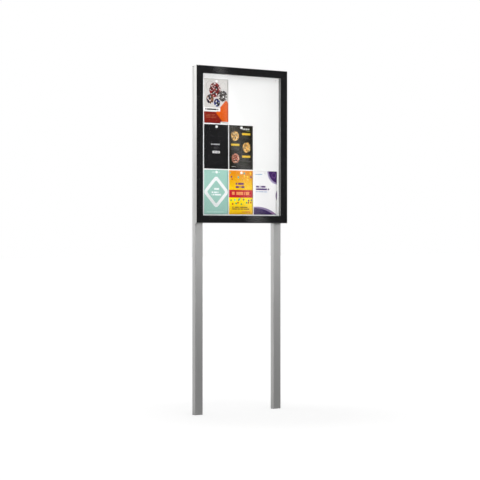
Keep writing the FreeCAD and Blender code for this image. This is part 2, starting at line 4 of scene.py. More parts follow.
import bmesh
import bpy
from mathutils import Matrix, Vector


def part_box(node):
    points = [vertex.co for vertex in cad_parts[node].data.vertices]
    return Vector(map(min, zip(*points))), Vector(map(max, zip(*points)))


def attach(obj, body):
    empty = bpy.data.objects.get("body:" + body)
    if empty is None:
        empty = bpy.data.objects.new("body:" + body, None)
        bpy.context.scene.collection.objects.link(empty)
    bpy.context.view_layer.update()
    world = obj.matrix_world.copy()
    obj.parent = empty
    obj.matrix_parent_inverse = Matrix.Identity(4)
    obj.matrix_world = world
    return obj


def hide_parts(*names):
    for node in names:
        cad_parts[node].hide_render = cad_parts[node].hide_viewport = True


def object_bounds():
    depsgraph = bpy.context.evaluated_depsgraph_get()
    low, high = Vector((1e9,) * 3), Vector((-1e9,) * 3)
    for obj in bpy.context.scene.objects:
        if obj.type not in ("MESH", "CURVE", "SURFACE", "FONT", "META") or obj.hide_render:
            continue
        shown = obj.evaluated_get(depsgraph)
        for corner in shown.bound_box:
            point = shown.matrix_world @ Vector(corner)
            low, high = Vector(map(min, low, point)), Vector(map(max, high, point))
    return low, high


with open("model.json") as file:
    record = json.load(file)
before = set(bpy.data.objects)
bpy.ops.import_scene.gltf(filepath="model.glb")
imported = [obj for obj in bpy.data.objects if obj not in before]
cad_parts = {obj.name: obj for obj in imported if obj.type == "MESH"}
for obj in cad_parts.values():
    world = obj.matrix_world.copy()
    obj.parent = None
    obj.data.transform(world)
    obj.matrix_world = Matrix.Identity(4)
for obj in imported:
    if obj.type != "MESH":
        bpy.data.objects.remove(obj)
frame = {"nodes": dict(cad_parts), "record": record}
nodes = frame["nodes"]
cadLow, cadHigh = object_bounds()
print("loaded", len(nodes), "nodes of the notice board")

scene = bpy.context.scene
scene.view_settings.view_transform = "Standard"


def addObject(name, data):
    item = bpy.data.objects.new(name, data)
    scene.collection.objects.link(item)
    return item


# Camera, at the photo's angle: level, a little to the left, with a long lens

cameraLook = {
    "place": (-7.950, -9.449, 1.215), "tilt": 90.0, "turn": -40.1, "lens": 137.0, "sensor": 36.0,
    "shift": -0.0167, "farEnd": 200.0,
}


def placeCamera(look):
    data = bpy.data.cameras.new("boardCamera")
    data.lens = look["lens"]
    data.sensor_width = look["sensor"]
    data.shift_y = look["shift"]
    data.clip_end = look["farEnd"]
    camera = addObject("boardCamera", data)
    camera.location = look["place"]
    camera.rotation_euler = (math.radians(look["tilt"]), 0.0, math.radians(look["turn"]))
    scene.camera = camera


placeCamera(cameraLook)
print("camera placed")


# Small helpers for node trees: a value may be a number, a colour or another node's output

def feed(tree, node, inputs):
    for key, value in inputs.items():
        if isinstance(value, bpy.types.NodeSocket):
            tree.links.new(value, node.inputs[key])
        else:
            node.inputs[key].default_value = value
    return node


def addNode(tree, kind, inputs=None, **settings):
    node = tree.nodes.new(kind)
    for key, value in settings.items():
        setattr(node, key, value)
    return feed(tree, node, inputs or {})


def calc(tree, operation, *values):
    return addNode(tree, "ShaderNodeMath", dict(enumerate(values)), operation=operation).outputs[0]


def calcVector(tree, operation, *values):
    node = addNode(tree, "ShaderNodeVectorMath", dict(enumerate(values)), operation=operation)
    return node.outputs["Value" if operation in ("LENGTH", "DISTANCE") else "Vector"]


def split(tree, vector):
    return addNode(tree, "ShaderNodeSeparateXYZ", {0: vector}).outputs


def join(tree, x=0.0, y=0.0, z=0.0):
    return addNode(tree, "ShaderNodeCombineXYZ", {"X": x, "Y": y, "Z": z}).outputs[0]


def noise(tree, place, scale, **more):
    inputs = {"Vector": place, "Scale": scale, **{key.capitalize(): value for key, value in more.items()}}
    return addNode(tree, "ShaderNodeTexNoise", inputs).outputs[0]


def span(tree, value, low, high, newLow, newHigh, kind="LINEAR"):
    inputs = {"Value": value, "From Min": low, "From Max": high, "To Min": newLow, "To Max": newHigh}
    return addNode(tree, "ShaderNodeMapRange", inputs, clamp=True, interpolation_type=kind).outputs[0]


def blendColour(tree, factor, under, over):
    under, over = ((*value, 1.0) if isinstance(value, tuple) else value for value in (under, over))
    return addNode(tree, "ShaderNodeMix", {0: factor, 6: under, 7: over}, data_type="RGBA").outputs[2]


def toned(colour, share):
    return tuple(min(part * share, 1.0) for part in colour)


def startGroup(name, inputs, outputs, kind="ShaderNodeTree"):
    tree = bpy.data.node_groups.new(name, kind)
    for side, sockets in (("INPUT", inputs), ("OUTPUT", outputs)):
        for label, sort in sockets.items():
            tree.interface.new_socket(label, in_out=side, socket_type="NodeSocket" + sort)
    return tree, tree.nodes.new("NodeGroupInput"), tree.nodes.new("NodeGroupOutput")


def useGroup(tree, group, inputs):
    return addNode(tree, "ShaderNodeGroup", inputs, node_tree=group).outputs


# Shader groups for effects that several finishes share

patternLook = {
    "broadGrain": 45.0, "lineShare": 0.4, "patchSpan": (0.42, 0.68, 0.0, 1.0), "cellShare": 0.6,
}


# Fine lines along a metal piece, as drawing and brushing leave them
def makeGrainGroup():
    tree, start, end = startGroup(
        "drawnGrain", {"Coordinate": "Vector", "Stretch": "Vector", "Fineness": "Float"},
        {"Height": "Float", "Tone": "Float"},
    )
    inner = start.outputs
    scaled = calcVector(tree, "MULTIPLY", inner["Coordinate"], inner["Stretch"])
    lines = noise(tree, scaled, inner["Fineness"], detail=3.0, roughness=0.6)
    broad = noise(tree, scaled, patternLook["broadGrain"], detail=2.0)
    share = patternLook["lineShare"]
    tone = calc(tree, "MULTIPLY_ADD", lines, share, calc(tree, "MULTIPLY", broad, 1.0 - share))
    feed(tree, end, {"Height": lines, "Tone": tone})
    return tree


# Soft patches that hands and cloths leave
def makeMarksGroup():
    tree, start, end = startGroup("handMarks", {"Coordinate": "Vector", "Size": "Float"}, {"Mask": "Float"})
    inner = start.outputs
    patches = noise(
        tree, inner["Coordinate"], inner["Size"], detail=5.0, roughness=0.62, distortion=0.6
    )
    feed(tree, end, {"Mask": span(tree, patches, *patternLook["patchSpan"])})
    return tree


# The pebbled skin of moulded plastic, rubber and paper
def makePebbleGroup():
    tree, start, end = startGroup(
        "pebbledSkin", {"Coordinate": "Vector", "Fineness": "Float"}, {"Height": "Float"}
    )
    place, scale = start.outputs["Coordinate"], start.outputs["Fineness"]
    cells = addNode(tree, "ShaderNodeTexVoronoi", {"Vector": place, "Scale": scale}, feature="SMOOTH_F1")
    grains = noise(tree, place, scale, detail=2.0)
    height = calc(tree, "MULTIPLY_ADD", cells.outputs[0], patternLook["cellShare"], grains)
    feed(tree, end, {"Height": height})
    return tree


drawnGrain = makeGrainGroup()
handMarks = makeMarksGroup()
pebbledSkin = makePebbleGroup()


# Finishes, each with one shader of its own; these numbers of a look go straight to its sockets

plainSockets = {
    "roughness": "Roughness", "metallic": "Metallic", "gloss": "Specular IOR Level", "ior": "IOR",
    "clearness": "Transmission Weight",
}


def startMaterial(name):
    material = bpy.data.materials.new(name)
    material.use_nodes = True
    tree = material.node_tree
    tree.nodes.clear()
    return material, tree, tree.nodes.new("ShaderNodeOutputMaterial")


def startFinish(name, look):
    material, tree, output = startMaterial(name)
    plain = {socket: look[key] for key, socket in plainSockets.items() if key in look}
    shader = addNode(tree, "ShaderNodeBsdfPrincipled", {"Base Color": (*look["colour"], 1.0), **plain})
    feed(tree, output, {"Surface": shader.outputs[0]})
    place = addNode(tree, "ShaderNodeTexCoord").outputs["Object"]
    return material, tree, shader, output, place


def bumpFrom(tree, shader, height, distance):
    bump = addNode(tree, "ShaderNodeBump", {"Height": height, "Distance": distance, "Strength": 1.0})
    feed(tree, shader, {"Normal": bump.outputs[0]})


# Where a surface was touched, and how rough that leaves it
def marksOn(tree, place, look):
    marks = useGroup(tree, handMarks, {"Coordinate": place, "Size": look["markSize"]})["Mask"]
    return marks, calc(tree, "MULTIPLY_ADD", marks, look["markRoughness"], look["roughness"])


def makeMetal(name, look):
    material, tree, shader, output, place = startFinish(name, look)
    grain = useGroup(
        tree, drawnGrain, {"Coordinate": place, "Stretch": look["stretch"], "Fineness": look["fineness"]}
    )
    marks, rough = marksOn(tree, place, look)
    low, high = (toned(look["colour"], 1.0 + shift) for shift in (-look["toneShift"], look["toneShift"]))
    colour = blendColour(tree, span(tree, grain["Tone"], *look["toneSpan"], 0.0, 1.0), low, high)
    colour = blendColour(tree, calc(tree, "MULTIPLY", marks, look["dustAmount"]), colour, look["dust"])
    rough = calc(tree, "MULTIPLY_ADD", grain["Tone"], look["grainRoughness"], rough)
    if "rim" in look:  # the casing's front edges turn near black, as dark as the glass's border
        edge = cadLow.y + look["rim"]["depth"]
        rim = span(tree, split(tree, place)["Y"], edge, edge + look["rim"]["fade"], 1.0, 0.0)
        colour = blendColour(tree, rim, colour, look["rim"]["colour"])
        rough = calc(tree, "MAXIMUM", rough, calc(tree, "MULTIPLY", rim, look["rim"]["roughness"]))
        bare = calc(tree, "MULTIPLY_ADD", rim, -look["metallic"], look["metallic"])
        feed(tree, shader, {"Metallic": bare})
    feed(tree, shader, {"Base Color": colour, "Roughness": rough})
    bumpFrom(tree, shader, grain["Height"], look["grainDepth"])
    return material


anodisedLook = {
    "colour": (0.50, 0.50, 0.49), "roughness": 0.28, "metallic": 0.85, "stretch": (1.0, 1.0, 0.012),
    "fineness": 1100.0, "toneSpan": (0.3, 0.7), "toneShift": 0.05, "grainRoughness": 0.04,
    "grainDepth": 0.00002, "markSize": 4.0, "markRoughness": 0.05, "dust": (0.50, 0.50, 0.48),
    "dustAmount": 0.12,
}
levelStretch = (0.012, 1.0, 1.0)
casingLook = dict(
    anodisedLook,
    rim={"depth": 0.0003, "fade": 0.00005, "colour": (0.012, 0.012, 0.012), "roughness": 0.5},
)
levelLook = dict(casingLook, stretch=levelStretch)
postLook = dict(anodisedLook, roughness=0.46, colour=(0.57, 0.57, 0.565), metallic=0.30)
# The liner and the door frame are the same anodised aluminium as the casing, coloured darker as painted shade
# on the inner walls that sit in shade
shadedLinerLook = dict(anodisedLook, roughness=0.46, colour=(0.20, 0.20, 0.20), metallic=0.5)
shadedLinerLevelLook = dict(shadedLinerLook, stretch=levelStretch)
millLook = dict(
    anodisedLook, colour=(0.60, 0.60, 0.59), metallic=1.0, stretch=(1.0, 0.02, 1.0), fineness=700.0,
    toneShift=0.08, markRoughness=0.12,
)
stainlessLook = dict(
    anodisedLook, colour=(0.56, 0.55, 0.53), roughness=0.24, metallic=1.0, stretch=(1.0, 0.05, 1.0),
    fineness=2500.0, toneShift=0.06,
)
chromeLook = dict(
    anodisedLook, colour=(0.74, 0.75, 0.76), roughness=0.09, metallic=1.0, stretch=(0.3, 1.0, 1.0),
    fineness=3000.0, toneShift=0.02, markRoughness=0.10, grainRoughness=0.02, grainDepth=0.000003,
    dustAmount=0.04,
)


# Zinc plating has small cloudy flakes with a blue and straw tint
zincLook = {
    "colour": (0.60, 0.61, 0.63), "blue": (0.46, 0.50, 0.56), "straw": (0.60, 0.57, 0.46),
    "strawSpan": (0.52, 0.66, 0.0, 0.7), "flakeSize": 260.0, "tintSize": 60.0, "metallic": 1.0,
    "roughness": 0.30, "flakeRoughness": 0.16, "depth": 0.00002,
}


def makeZinc(name, look):
    material, tree, shader, output, place = startFinish(name, look)
    flakes = addNode(tree, "ShaderNodeTexVoronoi", {"Vector": place, "Scale": look["flakeSize"]})
    flake = addNode(tree, "ShaderNodeSeparateColor", {0: flakes.outputs["Color"]}).outputs[0]
    tint = noise(tree, place, look["tintSize"], detail=3.0)
    colour = blendColour(tree, flake, look["colour"], look["blue"])
    colour = blendColour(tree, span(tree, tint, *look["strawSpan"]), colour, look["straw"])
    rough = calc(tree, "MULTIPLY_ADD", flake, look["flakeRoughness"], look["roughness"])
    feed(tree, shader, {"Base Color": colour, "Roughness": rough})
    bumpFrom(tree, shader, tint, look["depth"])
    return material


def makeMoulded(name, look):
    material, tree, shader, output, place = startFinish(name, look)
    skin = useGroup(tree, pebbledSkin, {"Coordinate": place, "Fineness": look["fineness"]})["Height"]
    marks, rough = marksOn(tree, place, look)
    worn = tuple(part + (1.0 - part) * look["wear"] for part in look["colour"])
    colour = blendColour(tree, marks, look["colour"], worn)
    feed(tree, shader, {"Base Color": colour, "Roughness": rough})
    bumpFrom(tree, shader, skin, look["skinDepth"])
    return material


darkPlasticLook = {
    "colour": (0.030, 0.030, 0.032), "roughness": 0.48, "gloss": 0.45, "fineness": 1500.0, "markSize": 22.0,
    "wear": 0.03, "markRoughness": 0.15, "skinDepth": 0.00006,
}
rubberLook = dict(darkPlasticLook, colour=(0.016, 0.016, 0.017), roughness=0.78, gloss=0.3, fineness=2400.0)
nylonLook = dict(darkPlasticLook, colour=(0.80, 0.79, 0.75), roughness=0.38, wear=0.0, fineness=1800.0)
magnetLook = dict(
    darkPlasticLook, colour=(0.90, 0.90, 0.90), roughness=0.30, gloss=0.5, wear=0.0, skinDepth=0.000015,
)


# White enamel on the magnetic panel: glossy, with a faint roll of the coating
enamelLook = {
    "colour": (0.88, 0.88, 0.88), "wiped": 0.993, "roughness": 0.285, "markSize": 6.0,
    "markRoughness": 0.06, "roll": 55.0, "rollDepth": 0.00004,
}


def makeEnamel(name, look):
    material, tree, shader, output, place = startFinish(name, look)
    marks, rough = marksOn(tree, place, look)
    colour = blendColour(tree, marks, look["colour"], toned(look["colour"], look["wiped"]))
    feed(tree, shader, {"Base Color": colour, "Roughness": rough})
    bumpFrom(tree, shader, noise(tree, place, look["roll"], detail=2.0), look["rollDepth"])
    return material


# Ceramic ink on the glass, nearly black, a little blotchy where it was rolled on
inkLook = {
    "colour": (0.008, 0.008, 0.0085), "pale": 1.35, "gloss": 0.04, "cloud": 30.0,
    "paleSpan": (0.4, 0.7, 0.0, 1.0), "roughSpan": (0.3, 0.7, 0.5, 0.62),
}


def makeBorderInk(name, look):
    material, tree, shader, output, place = startFinish(name, look)
    cloud = noise(tree, place, look["cloud"], detail=4.0)
    pale = span(tree, cloud, *look["paleSpan"])
    colour = blendColour(tree, pale, look["colour"], toned(look["colour"], look["pale"]))
    feed(tree, shader, {"Base Color": colour, "Roughness": span(tree, cloud, *look["roughSpan"])})
    return material


# Safety glass with a coating that lowers its reflections; lamps reach what is behind it
glassLook = {
    "colour": (0.99, 0.994, 0.992), "clearness": 1.0, "ior": 1.45, "gloss": 0.30, "roughness": 0.03,
    "markSize": 5.0, "markRoughness": 0.02, "shade": (0.975, 0.975, 0.973),
}


def makeGlass(name, look):
    material, tree, shader, output, place = startFinish(name, look)
    marks, rough = marksOn(tree, place, look)
    feed(tree, shader, {"Roughness": rough})
    clear = addNode(tree, "ShaderNodeBsdfTransparent", {"Color": (*look["shade"], 1.0)})
    path = addNode(tree, "ShaderNodeLightPath").outputs
    passing = calc(tree, "MAXIMUM", path["Is Shadow Ray"], path["Is Diffuse Ray"])
    mirrored = calc(tree, "SUBTRACT", path["Is Glossy Ray"], path["Is Transmission Ray"])
    passing = calc(tree, "MAXIMUM", passing, mirrored)
    mix = addNode(tree, "ShaderNodeMixShader", {0: passing, 1: shader.outputs[0], 2: clear.outputs[0]})
    feed(tree, output, {"Surface": mix.outputs[0]})
    return material


finishPlans = {
    "anodisedUpright": (makeMetal, casingLook),
    "anodisedLevel": (makeMetal, levelLook),
    "anodisedPost": (makeMetal, postLook),
    "linerUpright": (makeMetal, shadedLinerLook),
    "linerLevel": (makeMetal, shadedLinerLevelLook),
    "millAluminium": (makeMetal, millLook),
    "stainlessSteel": (makeMetal, stainlessLook),
    "lockChrome": (makeMetal, chromeLook),
    "zincPlate": (makeZinc, zincLook),
    "darkPlastic": (makeMoulded, darkPlasticLook),
    "sealRubber": (makeMoulded, rubberLook),
    "whiteNylon": (makeMoulded, nylonLook),
    "magnetWhite": (makeMoulded, magnetLook),
    "whiteEnamel": (makeEnamel, enamelLook),
    "borderInk": (makeBorderInk, inkLook),
    "clearGlass": (makeGlass, glassLook),
}
finishes = {name: make(name, look) for name, (make, look) in finishPlans.items()}
print("finishes made:", len(finishes))


# Prints: each sheet's ink is a list of shapes in millimetres from the sheet's lower left corner

printLook = {
    "size": (210.0, 297.0, 0.0), "gloss": 0.10, "fineness": 1.1, "depth": 0.00002, "skinSpan": (0.3, 1.1),
    "smoother": 0.04, "rougher": 0.06, "inkEdge": 0.15, "shortRow": 0.72, "wordGaps": 0.17,
    "spotScatter": 0.85, "toneSpan": (0.46, 0.54, 0.0, 1.0), "fleckSpan": (0.24, 0.30, 1.0, 0.0),
    "fleckSize": 1.6,
}
wordLabels = ("Left", "Top", "Width", "Rows", "Pitch", "Letter", "Share")
spotLabels = ("Spacing", "Size", "Share")


# A shape's mask from the distance to its outline, with a slightly soft edge
def filled(tree, gap):
    return span(tree, gap, -printLook["inkEdge"], printLook["inkEdge"], 1.0, 0.0)


def makeBlockGroup():
    tree, start, end = startGroup(
        "inkBlock",
        {"Place": "Vector", "Centre": "Vector", "Half Size": "Vector", "Round": "Float", "Turn": "Float"},
        {"Mask": "Float"},
    )
    inner = start.outputs
    away = calcVector(tree, "SUBTRACT", inner["Place"], inner["Centre"])
    turned = addNode(
        tree, "ShaderNodeVectorRotate", {"Vector": away, "Angle": inner["Turn"]}, rotation_type="Z_AXIS"
    ).outputs[0]
    core = calcVector(tree, "SUBTRACT", inner["Half Size"], join(tree, inner["Round"], inner["Round"]))
    past = calcVector(tree, "SUBTRACT", calcVector(tree, "ABSOLUTE", turned), core)
    outside = calcVector(tree, "MAXIMUM", past, (0.0, 0.0, 0.0))
    length = calcVector(tree, "LENGTH", calcVector(tree, "MULTIPLY", outside, (1.0, 1.0, 0.0)))
    parts = split(tree, past)
    within = calc(tree, "MINIMUM", calc(tree, "MAXIMUM", parts["X"], parts["Y"]), 0.0)
    gap = calc(tree, "SUBTRACT", calc(tree, "ADD", length, within), inner["Round"])
    feed(tree, end, {"Mask": filled(tree, gap)})
    return tree


# A ring as Mask, and the disc inside it as Shape
def makeRingGroup():
    tree, start, end = startGroup(
        "inkRing",
        {"Place": "Vector", "Centre": "Vector", "Radius": "Float", "Line": "Float", "Squash": "Float"},
        {"Mask": "Float", "Shape": "Float"},
    )
    inner = start.outputs
    away = calcVector(tree, "SUBTRACT", inner["Place"], inner["Centre"])
    length = calcVector(tree, "LENGTH", calcVector(tree, "MULTIPLY", away, join(tree, inner["Squash"], 1.0)))
    gap = calc(tree, "SUBTRACT", length, inner["Radius"])
    line = calc(tree, "SUBTRACT", calc(tree, "ABSOLUTE", gap), calc(tree, "MULTIPLY", inner["Line"], 0.5))
    feed(tree, end, {"Mask": filled(tree, line), "Shape": filled(tree, gap)})
    return tree


# Rows of short bars in the place of words
def makeWordsGroup():
    tree, start, end = startGroup(
        "inkWords", {"Place": "Vector", **dict.fromkeys(wordLabels, "Float")}, {"Mask": "Float"}
    )
    inner = start.outputs
    parts = split(tree, inner["Place"])
    down = calc(tree, "DIVIDE", calc(tree, "SUBTRACT", inner["Top"], parts["Y"]), inner["Pitch"])
    along = calc(tree, "SUBTRACT", parts["X"], inner["Left"])
    row = calc(tree, "FLOOR", down)
    column = calc(tree, "FLOOR", calc(tree, "DIVIDE", along, inner["Letter"]))
    chance, ending = (
        addNode(tree, "ShaderNodeTexWhiteNoise", {"Vector": cell}, noise_dimensions="3D").outputs["Value"]
        for cell in (join(tree, column, row, inner["Left"]), join(tree, row, inner["Top"]))
    )
    reach = calc(tree, "MULTIPLY", inner["Width"], span(tree, ending, 0.0, 1.0, printLook["shortRow"], 1.0))
    mask = calc(tree, "GREATER_THAN", inner["Share"], calc(tree, "FRACT", down))
    for more, less in (
        (along, 0.0), (reach, along), (down, 0.0), (inner["Rows"], down), (chance, printLook["wordGaps"])
    ):
        mask = calc(tree, "MULTIPLY", mask, calc(tree, "GREATER_THAN", more, less))
    feed(tree, end, {"Mask": mask})
    return tree


# Small loose shapes, and the colour number of each
def makeSpotsGroup():
    tree, start, end = startGroup(
        "inkSpots", {"Place": "Vector", **dict.fromkeys(spotLabels, "Float")},
        {"Mask": "Float", "Choice": "Float"},
    )
    inner = start.outputs
    scale = calc(tree, "DIVIDE", 1.0, inner["Spacing"])
    cells = addNode(
        tree, "ShaderNodeTexVoronoi",
        {"Vector": inner["Place"], "Scale": scale, "Randomness": printLook["spotScatter"]},
        voronoi_dimensions="2D", distance="MANHATTAN",
    )
    colours = addNode(tree, "ShaderNodeSeparateColor", {0: cells.outputs["Color"]}).outputs
    near = calc(tree, "GREATER_THAN", inner["Size"], cells.outputs["Distance"])
    shown = calc(tree, "GREATER_THAN", inner["Share"], colours[1])
    feed(tree, end, {"Mask": calc(tree, "MULTIPLY", near, shown), "Choice": colours[0]})
    return tree


# The uneven tones of a small printed picture
def makePictureGroup():
    tree, start, end = startGroup(
        "inkPicture", {"Place": "Vector", "Grain": "Float", "Seed": "Float"},
        {"Tone": "Float", "Fleck": "Float"},
    )
    inner = start.outputs
    moved = calcVector(tree, "ADD", inner["Place"], join(tree, z=inner["Seed"]))
    scale = calc(tree, "DIVIDE", 1.0, inner["Grain"])
    broad = noise(tree, moved, scale, detail=3.0, distortion=0.8)
    fleckScale = calc(tree, "MULTIPLY", scale, printLook["fleckSize"])
    cells = addNode(tree, "ShaderNodeTexVoronoi", {"Vector": moved, "Scale": fleckScale}, feature="SMOOTH_F1")
    feed(tree, end, {
        "Tone": span(tree, broad, *printLook["toneSpan"]),
        "Fleck": span(tree, cells.outputs[0], *printLook["fleckSpan"]),
    })
    return tree


inkBlock = makeBlockGroup()
inkRing = makeRingGroup()
inkWords = makeWordsGroup()
inkSpots = makeSpotsGroup()
inkPicture = makePictureGroup()


def blockMask(tree, place, x, y, halfWide, halfHigh, roundness=0.0, turn=0.0):
    return useGroup(tree, inkBlock, {
        "Place": place, "Centre": (x, y, 0.0), "Half Size": (halfWide, halfHigh, 0.0), "Round": roundness,
        "Turn": math.radians(turn),
    })["Mask"]


def ringMask(tree, place, x, y, radius, line):
    inputs = {"Place": place, "Centre": (x, y, 0.0), "Radius": radius, "Line": line, "Squash": 1.0}
    return useGroup(tree, inkRing, inputs)["Mask"]


def discMask(tree, place, x, y, radius, squash=1.0):
    inputs = {"Place": place, "Centre": (x, y, 0.0), "Radius": radius, "Squash": squash}
    return useGroup(tree, inkRing, inputs)["Shape"]


def wordsMask(tree, place, *values):
    return useGroup(tree, inkWords, {"Place": place, **dict(zip(wordLabels, values))})["Mask"]


maskMakers = {"block": blockMask, "ring": ringMask, "disc": discMask, "words": wordsMask}


# One of the inks for each loose shape
def pickInk(tree, choice, inks):
    ramp = addNode(tree, "ShaderNodeValToRGB", {0: choice})
    elements = ramp.color_ramp.elements
    ramp.color_ramp.interpolation = "CONSTANT"
    while len(elements) < len(inks):
        elements.new(0.5)
    for index, ink in enumerate(inks):
        elements[index].position = index / len(inks)
        elements[index].color = (*ink, 1.0)
    return ramp.outputs[0]


def printShape(tree, place, kind, shape, ink):
    if kind == "spots":
        area, spread = blockMask(tree, place, *shape[:4]), dict(zip(spotLabels, shape[4:]))
        spots = useGroup(tree, inkSpots, {"Place": place, **spread})
        return calc(tree, "MULTIPLY", area, spots["Mask"]), pickInk(tree, spots["Choice"], ink)
    if kind == "picture":
        dark, middle, pale, grain = ink
        tones = useGroup(tree, inkPicture, {"Place": place, "Grain": grain, "Seed": shape[0]})
        under = blendColour(tree, tones["Tone"], dark, middle)
        return discMask(tree, place, *shape), blendColour(tree, tones["Fleck"], under, pale)
    return maskMakers[kind](tree, place, *shape), ink


def makePrint(name, design):
    look = {**printLook, **design}
    material, tree, shader, output, place = startFinish(name, look)
    sheetMap = addNode(tree, "ShaderNodeUVMap", uv_map="sheetMap").outputs[0]
    place = calcVector(tree, "MULTIPLY", sheetMap, look["size"])
    colour = look["colour"]
    if "fade" in look:
        low, middle, high = look["fade"]["heights"]
        height = split(tree, place)["Y"]
        rise, fall = span(tree, height, low, middle, 0.0, 1.0), span(tree, height, middle, high, 1.0, 0.0)
        colour = blendColour(tree, calc(tree, "MULTIPLY", rise, fall), colour, look["fade"]["colour"])
    for kind, shape, ink in look["shapes"]:
        mask, over = printShape(tree, place, kind, shape, ink)
        colour = blendColour(tree, mask, colour, over)
    skin = useGroup(tree, pebbledSkin, {"Coordinate": place, "Fineness": look["fineness"]})["Height"]
    smooth, dull = look["roughness"] - look["smoother"], look["roughness"] + look["rougher"]
    rough = span(tree, skin, *look["skinSpan"], smooth, dull)
    feed(tree, shader, {"Base Color": colour, "Roughness": rough})
    bumpFrom(tree, shader, skin, look["depth"])
    return material


# Inks and sheet designs; a picture's ink is three colours and the size of its grain
def grey(level):
    return (level, level, level)


charcoal = (0.0055, 0.0055, 0.0065)
red, teal, purple = (0.50, 0.010, 0.014), (0.04, 0.42, 0.42), (0.09, 0.015, 0.17)
offWhite, labelYellow = (0.88, 0.87, 0.86), (0.72, 0.46, 0.03)
mint, frost = (0.325, 0.555, 0.485), (0.84, 0.88, 0.88)
food = ((0.030, 0.010, 0.005), (0.78, 0.40, 0.07), (0.92, 0.80, 0.45), 12.0)
stew = ((0.045, 0.012, 0.008), (0.50, 0.14, 0.08), (0.80, 0.60, 0.44), 11.0)

# Pale grey sheet with round pictures over a rust and orange foot
clubPrint = {
    "colour": (0.58, 0.56, 0.545),
    "roughness": 0.42,
    "shapes": [
        ("ring", (52.0, 247.0, 33.0, 1.2), grey(0.12)),
        ("ring", (161.0, 251.0, 24.0, 1.2), grey(0.30)),
        ("picture", (94.0, 222.0, 49.0), (grey(0.006), (0.24, 0.012, 0.012), (0.88, 0.86, 0.84), 19.0)),
        ("picture", (163.0, 184.0, 37.0), ((0.006, 0.006, 0.008), (0.05, 0.035, 0.03), offWhite, 18.0)),
        ("picture", (52.0, 160.0, 31.0), ((0.006, 0.006, 0.02), (0.22, 0.09, 0.04), offWhite, 16.0)),
        ("picture", (112.0, 138.0, 27.0), ((0.006, 0.006, 0.010), (0.03, 0.04, 0.18), offWhite, 15.0)),
        ("block", (105.0, 38.0, 105.0, 38.0), (0.19, 0.008, 0.003)),
        ("block", (190.0, 70.0, 62.0, 62.0, 0.0, 45.0), (0.61, 0.088, 0.0)),
        ("block", (70.0, 92.0, 70.0, 12.0), (0.80, 0.79, 0.78)),
        ("words", (12.0, 97.0, 112.0, 1.0, 12.0, 4.6, 0.75), grey(0.03)),
        ("words", (14.0, 58.0, 96.0, 3.0, 9.0, 2.6, 0.32), (0.44, 0.12, 0.05)),
        ("ring", (168.0, 42.0, 19.0, 1.4), (0.50, 0.09, 0.015)),
        ("block", (176.0, 6.0, 34.0, 6.0), (0.80, 0.79, 0.78)),
        ("words", (148.0, 9.0, 54.0, 1.0, 6.0, 2.2, 0.6), grey(0.30)),
    ],
}

# Charcoal sheet with faint chalk lines and one white label
chalkPrint = {
    "colour": charcoal,
    "roughness": 0.46,
    "shapes": [
        ("ring", (140.0, 232.0, 17.0, 1.0), (0.075, 0.078, 0.085)),
        ("block", (70.0, 220.0, 16.0, 0.7, 0.0, 24.0), (0.07, 0.07, 0.08)),
        ("block", (168.0, 198.0, 13.0, 0.7, 0.0, -38.0), (0.07, 0.07, 0.08)),
        ("ring", (52.0, 76.0, 14.0, 0.9), (0.06, 0.06, 0.07)),
        ("block", (150.0, 62.0, 17.0, 0.7, 0.0, 58.0), (0.06, 0.06, 0.07)),
        ("block", (98.0, 40.0, 12.0, 0.7, 0.0, -12.0), (0.06, 0.06, 0.07)),
        ("words", (60.0, 168.0, 92.0, 1.0, 10.0, 5.0, 0.85), (0.34, 0.34, 0.35)),
        ("block", (105.0, 141.0, 13.0, 13.0, 1.0, 45.0), (0.10, 0.105, 0.11)),
        ("block", (105.0, 141.0, 11.6, 11.6, 1.0, 45.0), charcoal),
        ("words", (88.0, 145.0, 34.0, 2.0, 6.0, 2.4, 0.4), (0.12, 0.12, 0.13)),
        ("block", (105.0, 112.0, 31.0, 7.5, 2.0), grey(0.78)),
        ("words", (82.0, 115.5, 48.0, 1.0, 7.0, 3.2, 0.9), grey(0.10)),
    ],
}

# Charcoal sheet with dishes and yellow labels down a zigzag
menuPrint = {
    "colour": (0.011, 0.0095, 0.0055),
    "roughness": 0.46,
    "shapes": [
        ("words", (116.0, 278.0, 78.0, 1.0, 12.0, 4.5, 0.8), (0.62, 0.62, 0.60)),
        ("words", (150.0, 262.0, 44.0, 1.0, 6.0, 2.5, 0.5), (0.20, 0.24, 0.06)),
        ("picture", (52.0, 226.0, 33.0), food),
        ("block", (150.0, 240.0, 36.0, 7.0, 1.0), labelYellow),
        ("words", (114.0, 226.0, 74.0, 3.0, 8.0, 2.2, 0.3), (0.07, 0.07, 0.06)),
        ("picture", (154.0, 150.0, 35.0), food),
        ("block", (54.0, 166.0, 36.0, 7.0, 1.0), (0.66, 0.44, 0.03)),
        ("words", (18.0, 152.0, 74.0, 3.0, 8.0, 2.2, 0.3), (0.10, 0.10, 0.09)),
        ("picture", (56.0, 74.0, 33.0), stew),
        ("block", (150.0, 88.0, 36.0, 7.0, 1.0), labelYellow),
        ("words", (114.0, 74.0, 74.0, 3.0, 8.0, 2.2, 0.3), (0.10, 0.10, 0.09)),
        ("words", (18.0, 20.0, 40.0, 1.0, 6.0, 2.8, 0.6), (0.40, 0.40, 0.38)),
        ("words", (146.0, 20.0, 44.0, 1.0, 6.0, 2.8, 0.5), grey(0.10)),
    ],
}

